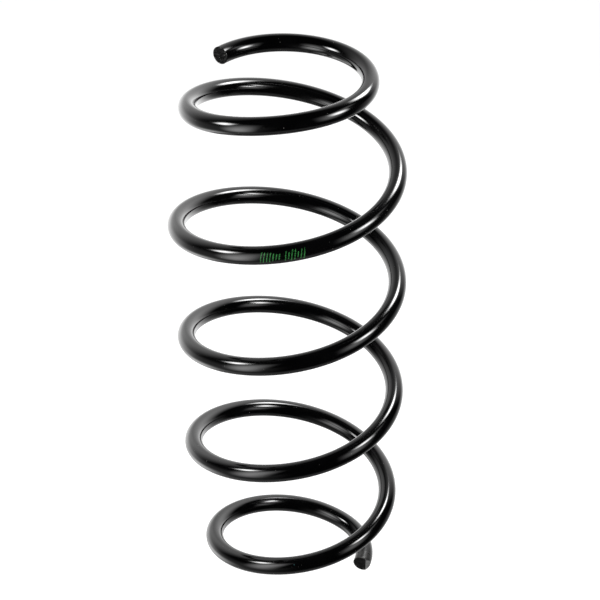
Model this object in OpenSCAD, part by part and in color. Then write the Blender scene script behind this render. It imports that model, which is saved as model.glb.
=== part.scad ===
// Suspension coil spring: one round steel bar wound right-handed, with a narrower dead coil at
// each end that sits in a spring seat, and open active coils between them.
//
// The bar is divided by flat upright cuts into short stretches that meet face to face. When the
// spring shortens, each active stretch moves straight down by its share of the stroke, and the
// faces of the cuts slide on one another.
//
// The origin is at the middle of the lower coil, on the surface that the spring stands on.
// +Z runs up the middle of the coils.

/* [Bar] */
// Diameter of the coated steel bar
bar_d = 12; // [8:0.5:16]

/* [Coils] */
// Turns from one bar end to the other
turns = 5.4; // [4.5:0.01:8]
// Mean diameter of the active coils, from bar middle to bar middle, before taper and waist
coil_d = 153; // [110:0.5:200]
// How much wider the coils are at the top end than at the bottom end
coil_taper = 28; // [0:0.5:40]
// How much narrower than that the coils are half way up
coil_waist = 11.5; // [0:0.5:20]
// Mean diameter where the lower end coil starts, before its bar end is tucked in
lower_coil_d = 106.5; // [70:0.5:200]
// Mean diameter at the upper bar end
upper_coil_d = 105.5; // [70:0.5:200]
// Rise of an active coil in one turn
pitch = 85.5; // [45:0.5:110]
// Rise of the lower end coil in one turn
lower_pitch = 47.5; // [0:0.5:60]
// Rise of the upper end coil in one turn
upper_pitch = 0; // [0:0.5:20]
// How far the upper bar end stands to the side of the lower one, in X
upper_shift = -10; // [-25:0.5:25]

/* [Winding] */
// Direction of the lower bar end seen from above, in degrees from +X
start_angle = -1; // [-180:0.5:180]
// Turns from the lower bar end to where the coil starts to widen
lower_narrow = 0.1; // [0:0.05:1]
// Turns over which the coil widens above the lower end
lower_widen = 1.1; // [0.3:0.05:2]
// Turns from the lower bar end to where the coil starts to rise
lower_flat = 0; // [0:0.05:1]
// Turns over which the rise grows to the full pitch
lower_lift = 1.2; // [0.3:0.05:2]
// Turns from the upper bar end to where the coil starts to widen
upper_narrow = 0.1; // [0:0.05:1]
// Turns over which the coil widens below the upper end
upper_widen = 1.35; // [0.3:0.05:2]
// Turns from the upper bar end to where the coil starts to drop
upper_flat = 0.5; // [0:0.05:1]
// Turns over which the drop grows to the full pitch
upper_lift = 0.3; // [0.3:0.05:2]
// Turns over which the widening eases in and out
corner = 0.2; // [0.1:0.05:0.3]
// How far the lower bar end is tucked in towards the middle of the coil
lower_tuck = 7.5; // [0:0.5:12]
// Turns over which the lower bar end is tucked in
tuck_turns = 0.14; // [0.1:0.01:0.3]

/* [Stretches] */
// Stretches of bar in one turn
turn_stretches = 8; // [6:1:12]
// Stretches in the dead coil at each end
dead_stretches = 6; // [3:1:10]

/* [Hidden] */
stretch_count = round(turns * turn_stretches);
// Turns that one stretch covers
stretch_turns = turns / stretch_count;
// Bar that is drawn past each cut and then cut off, in degrees round the coil
overrun = 3;
// Turns either side of a point that its direction is measured over
nudge = 0.001;
// Half the width of the block that cuts a bar off
cutter = 1.5 * bar_d;
bar_colour = [0.03, 0.03, 0.035];

$fn = 96;

// The area under a smooth step from 0 to 1, and a straight ramp from 0 to 1 with eased ends
function eased_sum(x) = x <= 0 ? 0 : x >= 1 ? x - 0.5 : x ^ 3 * (1 - x / 2);
function ramp(u, first, width) =
    corner / width * (eased_sum((u - first) / corner) - eased_sum((u - first - width) / corner));

// The middle of the bar at a number of turns from the lower bar end
function height_share(u) = 2 * u / turns - 1;
function wide_radius(u) = coil_d / 2 + coil_taper / 4 * height_share(u)
    - coil_waist / 2 * (1 - height_share(u) ^ 2);
function radius(u) = wide_radius(u)
    - (wide_radius(0) - lower_coil_d / 2) * (1 - ramp(u, lower_narrow, lower_widen))
    - (wide_radius(turns) - upper_coil_d / 2) * (1 - ramp(turns - u, upper_narrow, upper_widen))
    - lower_tuck * max(0, 1 - u / tuck_turns) ^ 2;
function rise(u) = lower_pitch * u
    + (pitch - lower_pitch) * lower_lift * eased_sum((u - lower_flat) / lower_lift)
    - (pitch - upper_pitch) * upper_lift
        * eased_sum((u - turns + upper_flat + upper_lift) / upper_lift);
function angle(u) = start_angle + 360 * u;
function middle(u) = [
    radius(u) * cos(angle(u)) + upper_shift * rise(u) / rise(turns),
    radius(u) * sin(angle(u)),
    bar_d / 2 + rise(u)
];

// A cut is a point on the bar's middle and the direction that its flat face looks in: level at
// the cuts between stretches, and square to the bar at its two ends
function unit(v) = v / norm(v);
function is_bar_end(i) = i == 0 || i == stretch_count;
function cut(i) = let (
        u = i * stretch_turns,
        run = middle(u + nudge) - middle(u - nudge))
    [middle(u), unit([run.x, run.y, is_bar_end(i) ? run.z : 0])];

// The centre of the circle through three points
function circle_centre(a, b, c) = let (
        ab = b - a,
        ac = c - a,
        across = cross(ab, ac))
    a + (norm(ac) ^ 2 * cross(across, ab) + norm(ab) ^ 2 * cross(ac, across)) / (2 * norm(across) ^ 2);

// Puts X, Y and Z along three directions, with the origin at a point
module place(x, y, z, at) {
    multmatrix([
        [x.x, y.x, z.x, at.x],
        [x.y, y.y, z.y, at.y],
        [x.z, y.z, z.z, at.z],
        [0, 0, 0, 1]
    ]) children();
}

// Bar bent along the circle arc through three points, drawn past both ends by the overrun
module bent_bar(a, b, c) {
    centre = circle_centre(a, b, c);
    x = unit(a - centre);
    z = unit(cross(b - a, c - a));
    y = cross(z, x);
    bend_r = norm(a - centre);
    sweep = 2 * asin(norm(c - a) / (2 * bend_r));
    place(x, y, z, centre)
        rotate([0, 0, -overrun])
            rotate_extrude(angle = sweep + 2 * overrun)
                translate([bend_r, 0])
                    circle(d = bar_d);
}

// Everything past a cut: ahead of its face, or behind it
module beyond(cut, ahead) {
    way = cut[1] * (ahead ? 1 : -1);
    side = unit(cross([0, 0, 1], way));
    place(side, cross(way, side), way, cut[0])
        translate([-cutter, -cutter, 0])
            cube([2 * cutter, 2 * cutter, 2 * cutter]);
}

// One stretch of the bar, from one cut to the next
module stretch(i) {
    u = i * stretch_turns;
    color(bar_colour)
        difference() {
            bent_bar(middle(u), middle(u + stretch_turns / 2), middle(u + stretch_turns));
            beyond(cut(i), false);
            beyond(cut(i + 1), true);
        }
}

// Names count up from the lower bar end, within the lower dead coil, the active coils and the
// upper dead coil
first_upper = stretch_count - dead_stretches;
function stretch_name(i) =
    i < dead_stretches ? str("lower_coil_", i + 1)
    : i < first_upper ? str("active_coil_", i + 1 - dead_stretches)
    : str("upper_coil_", i + 1 - first_upper);

for (i = [0 : stretch_count - 1])
    stretch(i);
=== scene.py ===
import math

import bmesh
import bpy
from mathutils import Matrix, Vector, noise
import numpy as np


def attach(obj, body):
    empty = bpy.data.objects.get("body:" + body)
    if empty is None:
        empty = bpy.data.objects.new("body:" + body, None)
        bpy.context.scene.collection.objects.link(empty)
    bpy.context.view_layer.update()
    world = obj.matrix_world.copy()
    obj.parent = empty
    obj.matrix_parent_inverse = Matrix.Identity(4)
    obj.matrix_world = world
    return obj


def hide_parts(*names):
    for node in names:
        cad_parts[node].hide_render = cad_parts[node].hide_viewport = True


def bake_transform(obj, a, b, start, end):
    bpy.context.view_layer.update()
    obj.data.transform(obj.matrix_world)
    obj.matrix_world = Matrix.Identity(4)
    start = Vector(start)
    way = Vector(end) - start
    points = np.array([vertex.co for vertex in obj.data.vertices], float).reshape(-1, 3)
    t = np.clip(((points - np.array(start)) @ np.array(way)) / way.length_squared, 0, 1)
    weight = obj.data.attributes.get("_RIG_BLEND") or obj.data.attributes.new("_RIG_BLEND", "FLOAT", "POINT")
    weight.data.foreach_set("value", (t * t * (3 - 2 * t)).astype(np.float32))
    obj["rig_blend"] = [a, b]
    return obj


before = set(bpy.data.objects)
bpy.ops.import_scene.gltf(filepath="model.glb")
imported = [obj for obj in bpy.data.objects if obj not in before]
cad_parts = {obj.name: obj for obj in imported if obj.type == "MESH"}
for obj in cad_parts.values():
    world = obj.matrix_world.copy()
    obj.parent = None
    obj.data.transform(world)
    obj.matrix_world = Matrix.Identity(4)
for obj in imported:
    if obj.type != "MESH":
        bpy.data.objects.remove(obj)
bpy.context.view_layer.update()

# --- Lower end coil ---------------------------------------------------------------------------
# The whole spring is one round steel bar, wound right-handed. Its lower end coil is narrower, with
# the bar end tucked in, and lies in the lower spring seat, where the load doesn't move it. The end
# is sheared, one corner of it is ground off, and it has the same gloss black coating.
MILLIMETRE = 0.001
BAR_RADIUS = 6 * MILLIMETRE
TURNS = 5.4
COIL_RADIUS = 76.5 * MILLIMETRE
COIL_TAPER = 7 * MILLIMETRE
COIL_WAIST = 5.75 * MILLIMETRE
LOWER_COIL_RADIUS = 53.25 * MILLIMETRE
UPPER_COIL_RADIUS = 52.75 * MILLIMETRE
PITCH = 85.5 * MILLIMETRE
LOWER_PITCH = 47.5 * MILLIMETRE
UPPER_SHIFT = -10 * MILLIMETRE
START_ANGLE = math.radians(-1)
LOWER_NARROW, LOWER_WIDEN, LOWER_LIFT = 0.1, 1.1, 1.2
UPPER_NARROW, UPPER_WIDEN, UPPER_FLAT, UPPER_LIFT = 0.1, 1.35, 0.5, 0.3
CORNER = 0.2
LOWER_TUCK = 7.5 * MILLIMETRE
TUCK_TURNS = 0.14
STRETCHES = len(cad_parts)
DEAD_STRETCHES = 6
BAR_SIDES = 80
RINGS_IN_TURN = 256
END_ROLL = 0.35 * MILLIMETRE
END_ROLL_STEPS = 3
END_INSETS = 15
NUDGE = 0.001


def eased_sum(x):
    """The area under a smooth step from 0 to 1."""
    if x <= 0:
        return 0
    return x - 0.5 if x >= 1 else x**3 * (1 - x / 2)


def ramp(turn, first, width):
    """A straight ramp from 0 to 1 with eased ends."""
    grown = eased_sum((turn - first) / CORNER) - eased_sum((turn - first - width) / CORNER)
    return CORNER / width * grown


def wide_radius(turn):
    """The coil's radius if it had no narrower ends: wider to the top, with a slight waist."""
    height_share = 2 * turn / TURNS - 1
    return COIL_RADIUS + COIL_TAPER * height_share - COIL_WAIST * (1 - height_share**2)


def coil_radius(turn):
    lower = wide_radius(0) - LOWER_COIL_RADIUS
    upper = wide_radius(TURNS) - UPPER_COIL_RADIUS
    return (
        wide_radius(turn)
        - lower * (1 - ramp(turn, LOWER_NARROW, LOWER_WIDEN))
        - upper * (1 - ramp(TURNS - turn, UPPER_NARROW, UPPER_WIDEN))
        - LOWER_TUCK * max(0, 1 - turn / TUCK_TURNS) ** 2
    )


def rise(turn):
    left = TURNS - UPPER_FLAT - UPPER_LIFT
    return (
        LOWER_PITCH * turn
        + (PITCH - LOWER_PITCH) * LOWER_LIFT * eased_sum(turn / LOWER_LIFT)
        - PITCH * UPPER_LIFT * eased_sum((turn - left) / UPPER_LIFT)
    )


def bar_middle(turn):
    """The middle of the bar at a number of turns from the lower bar end."""
    angle = START_ANGLE + math.tau * turn
    x = coil_radius(turn) * math.cos(angle) + UPPER_SHIFT * rise(turn) / rise(TURNS)
    return Vector((x, coil_radius(turn) * math.sin(angle), BAR_RADIUS + rise(turn)))


def bar_place(turn):
    """X out of the coil, Y up and Z along the bar, at the bar's middle."""
    along = (bar_middle(turn + NUDGE) - bar_middle(turn - NUDGE)).normalized()
    outward = along.cross(Vector((0, 0, 1))).normalized()
    up = outward.cross(along).normalized() * -1
    turned = Matrix((outward, up, along)).transposed().to_4x4()
    return Matrix.Translation(bar_middle(turn)) @ turned


def drawn_on(bm, rim, change, turn):
    """Extrudes an open rim and moves the new rim, which it returns."""
    made = bmesh.ops.extrude_edge_only(bm, edges=rim)["geom"]
    verts = {g for g in made if isinstance(g, bmesh.types.BMVert)}
    bmesh.ops.transform(bm, matrix=change, verts=list(verts))
    layer = bm.verts.layers.float["turn"]
    for vert in verts:
        vert[layer] = turn
    return [g for g in made if isinstance(g, bmesh.types.BMEdge) and verts.issuperset(g.verts)]


def drawn_bar(first, last):
    """The bar from one number of turns to another: a circle drawn out along the coil."""
    bm = bmesh.new()
    turn_layer = bm.verts.layers.float.new("turn")
    round_layer = bm.verts.layers.float.new("round")
    start = bar_place(first)
    bmesh.ops.create_circle(bm, segments=BAR_SIDES, radius=BAR_RADIUS, matrix=start)
    for vert in bm.verts:
        local = start.inverted() @ vert.co
        vert[turn_layer] = first
        vert[round_layer] = math.atan2(local.y, local.x)
    first_rim = bm.edges[:]
    rim = first_rim
    rings = math.ceil((last - first) * RINGS_IN_TURN)
    for ring in range(rings):
        here = first + (last - first) * ring / rings
        there = first + (last - first) * (ring + 1) / rings
        rim = drawn_on(bm, rim, bar_place(there) @ bar_place(here).inverted(), there)
    return bm, first_rim, rim


def flat_joint(bm, rim):
    """Closes the bar where the next stretch of it goes on."""
    bmesh.ops.edgeloop_fill(bm, edges=rim)
    for edge in rim:
        edge.smooth = False


def sheared_end(bm, rim, place, facing, face_shape):
    """Closes the bar with a rolled rim and a face of many rings, shaped along the bar by a
    function of the place on it."""
    turn = rim[0].verts[0][bm.verts.layers.float["turn"]]
    for step in range(END_ROLL_STEPS):
        angles = [math.pi / 2 * s / END_ROLL_STEPS for s in (step, step + 1)]
        radii = [BAR_RADIUS - END_ROLL * (1 - math.cos(a)) for a in angles]
        ahead = facing * END_ROLL * (math.sin(angles[1]) - math.sin(angles[0]))
        grow = Matrix.Diagonal((radii[1] / radii[0], radii[1] / radii[0], 1, 1))
        to_end = Matrix.Translation((0, 0, facing * END_ROLL * math.sin(angles[0])))
        here = place @ to_end
        change = here @ Matrix.Translation((0, 0, ahead)) @ grow @ here.inverted()
        rim = drawn_on(bm, rim, change, turn)
    face = bmesh.ops.edgeloop_fill(bm, edges=rim)["faces"][0]
    face.material_index = 1
    gap = (BAR_RADIUS - END_ROLL) / END_INSETS
    for ring in range(END_INSETS - 1):
        bmesh.ops.inset_region(bm, faces=[face], thickness=gap, use_even_offset=False)
    bmesh.ops.poke(bm, faces=[face])
    end = place.inverted()
    for vert in {v for f in bm.faces if f.material_index == 1 for v in f.verts}:
        local = end @ vert.co
        local.z += facing * face_shape(local.x, local.y)
        vert.co = place @ local


def bar_mesh(bm, name):
    """A mesh with the bar's own round normals and a map of turns along it and turns round it."""
    bmesh.ops.recalc_face_normals(bm, faces=bm.faces)
    turn_layer = bm.verts.layers.float["turn"]
    round_layer = bm.verts.layers.float["round"]
    wrap = bm.loops.layers.uv.new("BarWrap")
    normals = []
    for face in bm.faces:
        on_bar = len({v[turn_layer] for v in face.verts}) == 2
        face.smooth = len(face.verts) < BAR_SIDES
        rounds = [v[round_layer] for v in face.verts]
        crosses = max(rounds) - min(rounds) > math.pi
        for loop in face.loops:
            vert = loop.vert
            turned = vert[round_layer]
            if crosses and turned < 0:
                turned += math.tau
            loop[wrap].uv = (vert[turn_layer], turned / math.tau)
            outward = vert.co - bar_middle(vert[turn_layer])
            normals.append(outward.normalized() if on_bar else Vector())
    mesh = bpy.data.meshes.new(name)
    bm.to_mesh(mesh)
    bm.free()
    mesh.normals_split_custom_set(normals)
    for layer in ("turn", "round"):
        mesh.attributes.remove(mesh.attributes[layer])
    return mesh


def bar_piece(name, bm, *materials):
    """The finished piece, in the scene."""
    piece = bpy.data.objects.new(name, bar_mesh(bm, name))
    bpy.context.scene.collection.objects.link(piece)
    for material in materials:
        piece.data.materials.append(material)
    return piece


class Wire:
    """A node's output. Arithmetic on it adds Math nodes, and node() adds any other node."""

    def __init__(self, tree, socket=None):
        self.tree, self.socket = tree, socket

    def node(self, kind, settings=None, values=None, out=0):
        made = self.tree.nodes.new("ShaderNode" + kind)
        for name, value in (settings or {}).items():
            setattr(made, name, value)
        for name, value in (values or {}).items():
            if isinstance(value, Wire):
                self.tree.links.new(value.socket, made.inputs[name])
            else:
                made.inputs[name].default_value = value
        return Wire(self.tree, made.outputs[out] if made.outputs else None)

    def maths(self, operation, *values):
        return self.node("Math", {"operation": operation}, dict(enumerate(values)))

    def __add__(self, other):
        return self.maths("ADD", self, other)

    def __sub__(self, other):
        return self.maths("SUBTRACT", self, other)

    def __mul__(self, other):
        return self.maths("MULTIPLY", self, other)

    def __truediv__(self, other):
        return self.maths("DIVIDE", self, other)

    def __radd__(self, other):
        return self.maths("ADD", other, self)

    def __rsub__(self, other):
        return self.maths("SUBTRACT", other, self)

    def __rmul__(self, other):
        return self.maths("MULTIPLY", other, self)

    def __abs__(self):
        return self.maths("ABSOLUTE", self)

    def above(self, level, soft):
        """0 below a level and 1 above it, with a soft edge."""
        return self.node(
            "MapRange",
            {"interpolation_type": "SMOOTHSTEP"},
            {"Value": self, "From Min": level - soft, "From Max": level + soft},
        )


def blended(base, over, share):
    """One colour laid over another."""
    return share.node("Mix", {"data_type": "RGBA"}, {0: share, 6: base, 7: over}, out=2)


def new_finish(name):
    """An empty material, with a wire to start its nodes from."""
    material = bpy.data.materials.new(name)
    material.use_nodes = True
    material.node_tree.nodes.clear()
    return material, Wire(material.node_tree)


COATING_IOR = 1.5


def coat(wire, colour, roughness, bump_height, specular=0.5):
    """Ends a material in one shader. Heights are in metres."""
    relief = wire.node("Bump", {}, {"Distance": 1.0, "Strength": 1.0, "Height": bump_height})
    shader = wire.node(
        "BsdfPrincipled",
        {},
        {
            "Base Color": colour,
            "Roughness": roughness,
            "Normal": relief,
            "IOR": COATING_IOR,
            "Specular IOR Level": specular,
        },
    )
    wire.node("OutputMaterial", {}, {"Surface": shader})


BLACK = (0.0004, 0.0004, 0.0005, 1)
DUSTY_BLACK = (0.0012, 0.0012, 0.0013, 1)
DUST = (0.30, 0.29, 0.27, 1)
PEEL_SCALE, PEEL_HEIGHT = 260, 0.9e-6
GRAIN_SCALE, GRAIN_HEIGHT = 1500, 0.12e-6
CLOUD_SCALE = 45
CLOUDED, CLOUD_SOFTNESS = 0.55, 0.2
SPECK_SCALE = 900
SPECK_RADIUS, SPECK_SOFTNESS = 0.16, 0.05
BARE_SPECKS, BARE_SOFTNESS = 0.985, 0.005
DUST_COVER, DUST_ROUGHNESS, DUST_HEIGHT = 0.5, 0.4, 8e-6
GLOSS_ROUGHNESS, CLOUD_ROUGHNESS = 0.07, 0.06


def coating_nodes(wire):
    """The gloss black coating: orange peel, a little cloudiness, and specks of dust."""
    place = wire.node("TexCoord", out=3)
    cloud = wire.node("TexNoise", {}, {"Vector": place, "Scale": CLOUD_SCALE, "Detail": 4.0})
    peel = wire.node("TexNoise", {}, {"Vector": place, "Scale": PEEL_SCALE, "Detail": 2.0})
    grain = wire.node("TexNoise", {}, {"Vector": place, "Scale": GRAIN_SCALE, "Detail": 2.0})
    specks = wire.node("TexVoronoi", {}, {"Vector": place, "Scale": SPECK_SCALE})
    chosen = wire.node("TexVoronoi", {}, {"Vector": place, "Scale": SPECK_SCALE}, out=1)
    picked = chosen.node("SeparateColor", {}, {"Color": chosen})
    speck = 1 - specks.above(SPECK_RADIUS, SPECK_SOFTNESS)
    dust = speck * picked.above(BARE_SPECKS, BARE_SOFTNESS)
    colour = blended(BLACK, DUSTY_BLACK, cloud.above(CLOUDED, CLOUD_SOFTNESS))
    colour = blended(colour, DUST, dust * DUST_COVER)
    roughness = GLOSS_ROUGHNESS + cloud * CLOUD_ROUGHNESS + dust * DUST_ROUGHNESS
    height = peel * PEEL_HEIGHT + grain * GRAIN_HEIGHT + dust * DUST_HEIGHT
    return place, colour, roughness, height


DAB = (0.16, 0.50, 0.52, 1)
DAB_TURN, DAB_ROUND = 0.774, -0.105
DAB_LONG, DAB_WIDE = 0.024, 0.035
DAB_EDGE, DAB_SOFTNESS, DAB_RAGGED, RAGGED_SCALE = 0.7, 0.15, 2.5, 500.0
DAB_COVER, DAB_ROUGHNESS, DAB_HEIGHT = 0.8, 0.25, 15e-6
HAZE_HALF_TURNS, HAZE_COVER, HAZE_ROUGHNESS = 0.025, 0.1, 0.6

# A dab of teal paint is left on the underside of the lower end coil, and the last few
# centimetres at the bar end are hazy.
lower_coating, wire = new_finish("gloss_black_coating_with_dab")
place, colour, roughness, height = coating_nodes(wire)
wrap = wire.node("UVMap", {"uv_map": "BarWrap"})
bar_map = wire.node("SeparateXYZ", {}, {"Vector": wrap})
turn_along = bar_map
turn_round = Wire(wire.tree, bar_map.socket.node.outputs[1])
torn = wire.node("TexNoise", {}, {"Vector": place, "Scale": RAGGED_SCALE, "Detail": 5.0})
long = (turn_along - DAB_TURN) / DAB_LONG
wide = (turn_round - DAB_ROUND) / DAB_WIDE
spread = long * long + wide * wide + (torn - 0.5) * DAB_RAGGED
dab = (1 - spread.above(DAB_EDGE, DAB_SOFTNESS)) * DAB_COVER
haze = 1 - turn_along.above(HAZE_HALF_TURNS, HAZE_HALF_TURNS)
coat(
    wire,
    blended(blended(colour, DAB, dab), DUST, haze * torn * HAZE_COVER),
    roughness + dab * DAB_ROUGHNESS + haze * torn * HAZE_ROUGHNESS,
    height + dab * DAB_HEIGHT,
)

SHEAR_BLACK = (0.0015, 0.0015, 0.0015, 1)
SHEAR_GREY = (0.009, 0.009, 0.0093, 1)
BARE_STEEL = (0.42, 0.41, 0.39, 1)
PATCH_SCALE, PATCH_HEIGHT = 420.0, 0.12e-3
FLECK_SCALE, FLECK_HEIGHT, FLECK_COVER = 900.0, 0.015e-3, 0.5
SHEAR_ROUGHNESS, SHEAR_SPECULAR = 0.30, 0.12

# Coating over sheared steel: matt and uneven, thin on the high spots, where grey steel shows.
sheared_face, wire = new_finish("coated_sheared_face")
place = wire.node("TexCoord", out=3)
rough_patch = wire.node("TexNoise", {}, {"Vector": place, "Scale": PATCH_SCALE, "Detail": 6.0})
fleck = wire.node("TexNoise", {}, {"Vector": place, "Scale": FLECK_SCALE, "Detail": 3.0})
flecked = fleck.above(0.70, 0.03) * FLECK_COVER
worn = rough_patch.above(0.56, 0.12)
coat(
    wire,
    blended(blended(SHEAR_BLACK, SHEAR_GREY, worn), BARE_STEEL, flecked),
    SHEAR_ROUGHNESS + rough_patch * 0.35,
    rough_patch * PATCH_HEIGHT + fleck * FLECK_HEIGHT,
    specular=SHEAR_SPECULAR,
)

GROUND_CORNER = 3.0 * MILLIMETRE
GROUND_WAY = Vector((1, 0.05, -1))
# The ground corner's greys are partly painted highlight: they stand in for light glancing off the corner.
GROUND_BLACK = (0.06, 0.06, 0.061, 1)
GROUND_HIGHLIGHT_GREY = (0.20, 0.20, 0.197, 1)
GROUND_ROUGHNESS, SCRATCH_HEIGHT = 0.34, 0.03e-3
SHEAR_GRAIN = 1.4 * MILLIMETRE
BRUSH_HEIGHT, SHEAR_HEIGHT = 0.05 * MILLIMETRE, 0.30 * MILLIMETRE


def lower_face(x, y):
    """Sheared flat, with shallow ridges across it."""
    ridges = math.sin((x * 0.9 + y * 0.4) / MILLIMETRE * 2.2)
    rough = noise.fractal(Vector((x, y, 0.01)) / SHEAR_GRAIN, 0.8, 2.0, 4)
    return BRUSH_HEIGHT * (ridges - 1) + SHEAR_HEIGHT * min(rough - 0.4, 0) * 0.5


lower_last = TURNS * DEAD_STRETCHES / STRETCHES
roll_turns = END_ROLL / (math.tau * LOWER_COIL_RADIUS)
bm, end_rim, joint_rim = drawn_bar(roll_turns, lower_last)
flat_joint(bm, joint_rim)
sheared_end(bm, end_rim, bar_place(roll_turns), -1, lower_face)

# The ground corner is on the outside of the coil at the bar end.
end_place = bar_place(0)
corner_point = end_place @ Vector((BAR_RADIUS - GROUND_CORNER, 0, 0))
corner_way = (end_place.to_3x3() @ GROUND_WAY).normalized()
near = [g for g in bm.verts if (g.co - end_place.translation).length < 3 * BAR_RADIUS]
local_geometry = set(near)
for vert in near:
    local_geometry.update(vert.link_edges)
    local_geometry.update(vert.link_faces)
cut = bmesh.ops.bisect_plane(
    bm,
    geom=list(local_geometry),
    plane_co=corner_point,
    plane_no=corner_way,
    clear_outer=True,
)
cut_edges = [g for g in cut["geom_cut"] if isinstance(g, bmesh.types.BMEdge)]
ground = bmesh.ops.edgeloop_fill(bm, edges=cut_edges)["faces"]
for face in ground:
    face.material_index = 2

# The ground corner under the coating: fine parallel scratches, in greys far lighter than the black coating.
# The greys are partly a painted highlight that stands in for light glancing off the corner.
ground_corner_with_painted_highlight, wire = new_finish("coated_ground_corner_painted_highlight")
place = wire.node("TexCoord", out=3)
stretched = wire.node("Mapping", {}, {"Vector": place, "Scale": (300.0, 300.0, 4500.0)})
scratches = wire.node("TexNoise", {}, {"Vector": stretched, "Scale": 1.0, "Detail": 2.0})
coat(
    wire,
    blended(GROUND_BLACK, GROUND_HIGHLIGHT_GREY, scratches.above(0.5, 0.2)),
    GROUND_ROUGHNESS + scratches * 0.2,
    scratches * SCRATCH_HEIGHT,
)

lower_end_coil = bar_piece("lower_end_coil", bm, lower_coating, sheared_face, ground_corner_with_painted_highlight)
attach(lower_end_coil, "lower_coil")
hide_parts(*[f"lower_coil_{k + 1}" for k in range(DEAD_STRETCHES)])

# --- Active coils -----------------------------------------------------------------------------
# The open coils between the end coils are the same bar at its full diameter. Under load the bar
# twists a little all along, so each stretch of it goes down by the share of the stroke that the
# bar below it has given. The gloss black coating covers it all round.
HALVES = ("a", "b")
SHARE_STEPS = 40
FIRST_ACTIVE = lower_last
LAST_ACTIVE = TURNS - TURNS * DEAD_STRETCHES / STRETCHES


def twist(first, last):
    """How much a length of bar gives, which goes by the cube of its coil radius."""
    step = (last - first) / SHARE_STEPS
    turns = [first + step * (k + 0.5) for k in range(SHARE_STEPS)]
    return sum(coil_radius(turn) ** 3 for turn in turns) * step


def stroke_share(turn):
    return min(max(twist(FIRST_ACTIVE, turn) / twist(FIRST_ACTIVE, LAST_ACTIVE), 0), 1)


def eased_place(share):
    """Where a smooth step from 0 to 1 has reached a share."""
    return 0.5 - math.sin(math.asin(1 - 2 * share) / 3)


def bend_with_stroke(piece, first, last):
    """Blends a piece between the end coils, by the share of the stroke at its two ends."""
    low, high = eased_place(stroke_share(first)), eased_place(stroke_share(last))
    run = bar_middle(last) - bar_middle(first)
    run.z = 0
    start = bar_middle(first) - run * low / (high - low)
    end = bar_middle(first) + run * (1 - low) / (high - low)
    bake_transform(piece, "lower_coil", "upper_coil", start=start, end=end)


gloss_coating, wire = new_finish("gloss_black_coating")
coat(wire, *coating_nodes(wire)[1:])

active_pieces = []
for k in range(STRETCHES - 2 * DEAD_STRETCHES):
    for h, half in enumerate(HALVES):
        first = TURNS * (DEAD_STRETCHES + k + h / 2) / STRETCHES
        last = TURNS * (DEAD_STRETCHES + k + h / 2 + 1 / 2) / STRETCHES
        bm, first_rim, last_rim = drawn_bar(first, last)
        flat_joint(bm, first_rim)
        flat_joint(bm, last_rim)
        piece = bar_piece(f"active_coil_bar_{k + 1}{half}", bm, gloss_coating)
        bend_with_stroke(piece, first, last)
        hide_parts(f"active_coil_{k + 1}")
        active_pieces.append((first, last, piece))

# --- Upper end coil ---------------------------------------------------------------------------
# The upper end coil is narrower and nearly flat, and it lies in the upper spring seat. Its bar
# end is sheared and left as torn: uneven, with a burr along one side, then coated black.
BURR_HEIGHT = 1.1 * MILLIMETRE
BURR_STARTS = 0.66
TEAR_HEIGHT = 1.2 * MILLIMETRE
TEAR_GRAIN = 1.8 * MILLIMETRE
LEDGE_WIDTH = 0.4 * MILLIMETRE


def upper_face(x, y):
    """Torn steel: a ledge across the face, and coarse and fine lumps."""
    spot = Vector((x, y, 0.02)) / TEAR_GRAIN
    coarse = noise.fractal(spot, 0.7, 2.0, 5)
    past_ledge = y * 0.8 + x * 0.6 + coarse * MILLIMETRE
    ledge = 1 / (1 + math.exp(-past_ledge / LEDGE_WIDTH))
    inner_rim = max(0, (y * 0.3 - x * 0.95) / BAR_RADIUS - BURR_STARTS) / (1 - BURR_STARTS)
    burr = BURR_HEIGHT * inner_rim * (0.9 + coarse)
    return TEAR_HEIGHT * (0.35 * ledge + 0.5 * coarse - 0.75) * (1 - inner_rim) + burr


upper_first = LAST_ACTIVE
upper_roll = TURNS - END_ROLL / (math.tau * UPPER_COIL_RADIUS)
bm, joint_rim, end_rim = drawn_bar(upper_first, upper_roll)
flat_joint(bm, joint_rim)
sheared_end(bm, end_rim, bar_place(upper_roll), 1, upper_face)
upper_end_coil = bar_piece("upper_end_coil", bm, gloss_coating, sheared_face)
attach(upper_end_coil, "upper_coil")
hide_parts(*[f"upper_coil_{k + 1}" for k in range(DEAD_STRETCHES)])

# --- Printed marks ----------------------------------------------------------------------------
# A line of green ink is sprayed on the coating of the active coils after the spring is tested.
# It says nothing here: two groups of plain ticks of uneven height stand for the code.
INK = (0.022, 0.16, 0.034, 1)
INK_TURN, INK_ROUND = 3.750, -0.030
TURN_LENGTH = math.tau * COIL_RADIUS
TICK_GAP = 1.9 * MILLIMETRE / TURN_LENGTH
INK_GROUPS = ((-0.031, -0.004), (0.0, 0.027))
INK_HALF_HEIGHT = 0.11
INK_REACH = 0.06
INK_SLANT, INK_ROUGHNESS, INK_HEIGHT = 0.02, 0.3, 6e-6
TICK_HALF_WIDTH, TICK_SOFTNESS = 0.17, 0.10
SHORTEST_TICK = 0.45

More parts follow.
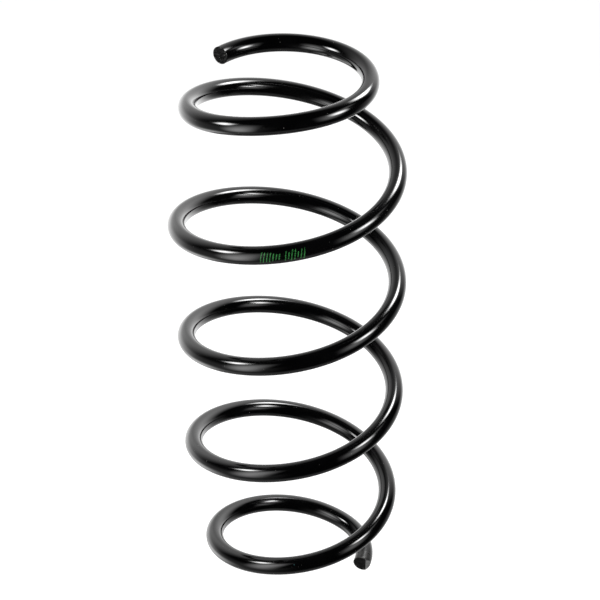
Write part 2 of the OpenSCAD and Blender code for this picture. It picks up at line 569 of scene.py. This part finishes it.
inked_coating, wire = new_finish("gloss_black_coating_with_marks")
place, colour, roughness, height = coating_nodes(wire)
wrap = wire.node("UVMap", {"uv_map": "BarWrap"})
bar_map = wire.node("SeparateXYZ", {}, {"Vector": wrap})
turn_along = bar_map - INK_TURN
turn_round = Wire(wire.tree, bar_map.socket.node.outputs[1]) - INK_ROUND
slanted = (turn_along + turn_round * INK_SLANT) / TICK_GAP
cell = slanted.maths("FLOOR", slanted)
within = abs(slanted - cell - 0.5)
random_tick = wire.node("TexWhiteNoise", {"noise_dimensions": "1D"}, {"W": cell})
tick_top = (SHORTEST_TICK + (1 - SHORTEST_TICK) * random_tick) * INK_HALF_HEIGHT
tick_side = 1 - within.above(TICK_HALF_WIDTH, TICK_SOFTNESS)
tick = tick_side * (1 - (abs(turn_round) - tick_top).above(0, 0.006))
dots = wire.node("TexNoise", {}, {"Vector": place, "Scale": 1500.0, "Detail": 1.0})
grouped = 0
for low, high in INK_GROUPS:
    grouped = grouped + turn_along.above(low, 0.001) * (1 - turn_along.above(high, 0.001))
ink = tick * grouped * (0.3 + 0.7 * dots.above(0.45, 0.15))
coat(
    wire,
    blended(colour, INK, ink),
    roughness + ink * INK_ROUGHNESS,
    height + ink * INK_HEIGHT,
)
for first, last, piece in active_pieces:
    if first < INK_TURN + INK_REACH and last > INK_TURN - INK_REACH:
        piece.data.materials[0] = inked_coating

# --- Floor ------------------------------------------------------------------------------------
# The floor isn't part of the spring: it is the plain pale table that the spring stands on. It
# glows a little, so that it stays pale, and it doesn't show in the gloss of the coating.
FLOOR_HALF = 6.0
FLOOR_GREY = (0.22, 0.22, 0.22, 1)
FLOOR_PALE = (0.24, 0.24, 0.24, 1)
FLOOR_ROUGHNESS, FLOOR_GLOW = 0.9, 0.97
bm = bmesh.new()
bmesh.ops.create_grid(bm, x_segments=8, y_segments=8, size=FLOOR_HALF)
floor_mesh = bpy.data.meshes.new("pale_floor")
bm.to_mesh(floor_mesh)
bm.free()
floor = bpy.data.objects.new("pale_floor", floor_mesh)
bpy.context.scene.collection.objects.link(floor)
pale, wire = new_finish("pale_floor")
place = wire.node("TexCoord", out=3)
mottle = wire.node("TexNoise", {}, {"Vector": place, "Scale": 3.0, "Detail": 3.0})
pale_colour = blended(FLOOR_GREY, FLOOR_PALE, mottle)
lit = {"Base Color": pale_colour, "Roughness": FLOOR_ROUGHNESS, "Specular IOR Level": 0.0}
lit |= {"Emission Color": (1, 1, 1, 1), "Emission Strength": FLOOR_GLOW}
wire.node("OutputMaterial", {}, {"Surface": wire.node("BsdfPrincipled", {}, lit)})
floor.data.materials.append(pale)
floor.visible_glossy = False
floor.visible_shadow = False

# --- Studio light -----------------------------------------------------------------------------
# Softboxes stand close round the spring, to the left, to the right and behind, and the camera's
# side is dark. They are placed from the middle of the spring: degrees round from the front,
# positive to the right, then degrees up, distance, half width, half height and brightness.
SPRING_MIDDLE = Vector((0, 0, 0.2))
SOFTBOXES = {
    "left_softbox": (-75, 37, 0.67, 0.070, 0.075, 34.0),
    "right_softbox": (64, 37, 0.60, 0.070, 0.080, 30.0),
    "back_right_softbox": (133, 52, 0.61, 0.068, 0.062, 42.0),
    "right_front_panel": (55, 19, 1.28, 0.25, 0.42, 2.4),
    "left_back_panel": (-144, 8, 0.46, 0.238, 0.40, 1.2),
    "left_front_panel": (-46, 4, 0.47, 0.10, 0.24, 4.6),
    "back_panel": (155, 9, 0.62, 0.270, 0.50, 2.0),
    "left_low_panel": (-107, -45, 0.59, 0.166, 0.10, 2.0),
    "right_far_panel": (84, 46, 1.08, 0.150, 0.089, 1.6),
}
for name, (around, up, away, half_width, half_height, bright) in SOFTBOXES.items():
    around, up = math.radians(around), math.radians(up)
    way = Vector((math.sin(around) * math.cos(up), -math.cos(around) * math.cos(up), math.sin(up)))
    lamp = bpy.data.lights.new(name, "AREA")
    lamp.shape = "RECTANGLE"
    lamp.size, lamp.size_y = 4 * half_width, 4 * half_height
    lamp.energy = bright * math.pi * lamp.size * lamp.size_y
    lamp.use_nodes = True
    lamp.node_tree.nodes.clear()
    wire = Wire(lamp.node_tree)
    across = wire.node("NewGeometry", out=5)
    sides = [wire.node("SeparateXYZ", {}, {"Vector": across}, out=axis) for axis in (0, 1)]
    soft = 1
    for side in sides:
        soft = soft * (1 - abs(side - 0.5).above(0.25, 0.25))
    glow = wire.node("Emission", {}, {"Strength": soft})
    wire.node("OutputLight", {}, {"Surface": glow})
    box = bpy.data.objects.new(name, lamp)
    box.location = SPRING_MIDDLE + way * away
    box.rotation_euler = way.to_track_quat("Z", "Y").to_euler()
    box.visible_camera = False
    bpy.context.scene.collection.objects.link(box)

# The room: pale where the camera sees it, and for the spring a dim glow from the table, which is
# brighter behind the spring.
TABLE_GLOW, BEHIND_GLOW, LEFT_GLOW, ROOM_GLOW = 0.4, 0.9, 0.35, 0.01
world = bpy.data.worlds.new("studio")
world.use_nodes = True
world.node_tree.nodes.clear()
wire = Wire(world.node_tree)
direction = wire.node("TexCoord", out=0)
east, north, height = [
    wire.node("SeparateXYZ", {}, {"Vector": direction}, out=axis) for axis in range(3)
]
table = (0 - height).above(0.82, 0.12) * TABLE_GLOW
behind = north.above(0.35, 0.35) * (1 - abs(height + 0.45).above(0.42, 0.15)) * BEHIND_GLOW
left = (0 - east).above(0.35, 0.35) * (1 - abs(height + 0.45).above(0.5, 0.3)) * LEFT_GLOW
room = table + behind + left + ROOM_GLOW
seen = wire.node("LightPath", out=0)
glow = seen.node("Mix", {"data_type": "FLOAT"}, {0: seen, 2: room, 3: 1.0})
background = wire.node("Background", {}, {"Strength": glow})
wire.node("OutputWorld", {}, {"Surface": background})
bpy.context.scene.world = world
bpy.context.scene.view_settings.view_transform = "Standard"

# --- Camera -----------------------------------------------------------------------------------
# The camera isn't part of the spring. It looks at it from the front, a little from above, with a
# long lens and everything sharp.
CAMERA_AIM = Vector((0, 0, 0.2203))
CAMERA_UP = math.radians(31.48)
CAMERA_DISTANCE = 1.825
CAMERA_ROLL = 0.00755
LENS_LENGTH, SENSOR_WIDTH = 163.83, 36
LENS_SHIFT_X, LENS_SHIFT_Y = 0.00206, 0.00822
lens = bpy.data.cameras.new("camera")
lens.lens, lens.sensor_width = LENS_LENGTH, SENSOR_WIDTH
lens.shift_x, lens.shift_y = LENS_SHIFT_X, LENS_SHIFT_Y
camera = bpy.data.objects.new("camera", lens)
back = Vector((0, -math.cos(CAMERA_UP), math.sin(CAMERA_UP)))
tilt = Matrix.Rotation(math.pi / 2 - CAMERA_UP, 4, "X") @ Matrix.Rotation(CAMERA_ROLL, 4, "Z")
camera.matrix_world = Matrix.Translation(CAMERA_AIM + back * CAMERA_DISTANCE) @ tilt
bpy.context.scene.collection.objects.link(camera)
bpy.context.scene.camera = camera
